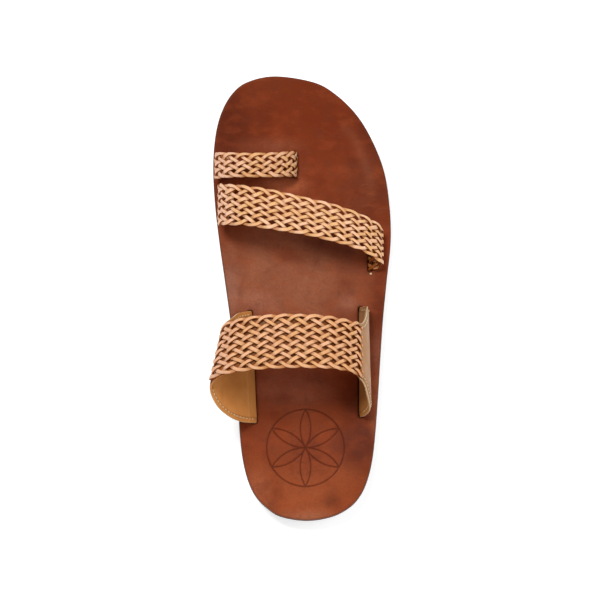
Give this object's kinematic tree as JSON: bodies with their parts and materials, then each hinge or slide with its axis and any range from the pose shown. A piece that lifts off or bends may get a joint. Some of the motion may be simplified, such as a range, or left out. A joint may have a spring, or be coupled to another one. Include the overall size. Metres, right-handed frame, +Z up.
{
  "type": "braided leather sandal",
  "caption": "Flat slip-on leather sandal for the right foot, with a braided toe loop, a braided forefoot strap and a lined, braided instep strap set into slots of the insole.",
  "frame": {"origin": "middle of the sandal's bounding box, on the floor plane", "axes": "+X towards the outer (lateral) side of the right foot, +Y towards the toe, +Z up"},
  "size_m": [0.113, 0.2802, 0.0791],
  "materials": {
    "outsole_rubber": "matt dark brown-black rubber",
    "insole_leather": "hand-dyed, waxed and burnished red-brown leather",
    "braid_leather": "natural tan leather strips, lightly polished",
    "lining_leather": "smooth golden-brown leather",
    "facing_leather": "smooth tan leather, edge-stitched"
  },
  "bodies": {
    "root": {"outsole": "outsole_rubber", "insole": "insole_leather", "toe_loop": "braid_leather", "forefoot_strap": "braid_leather", "instep_lining": "lining_leather", "instep_facing_medial": "facing_leather", "instep_facing_lateral": "facing_leather", "instep_braid": "braid_leather"}
  },
  "joints": []
}
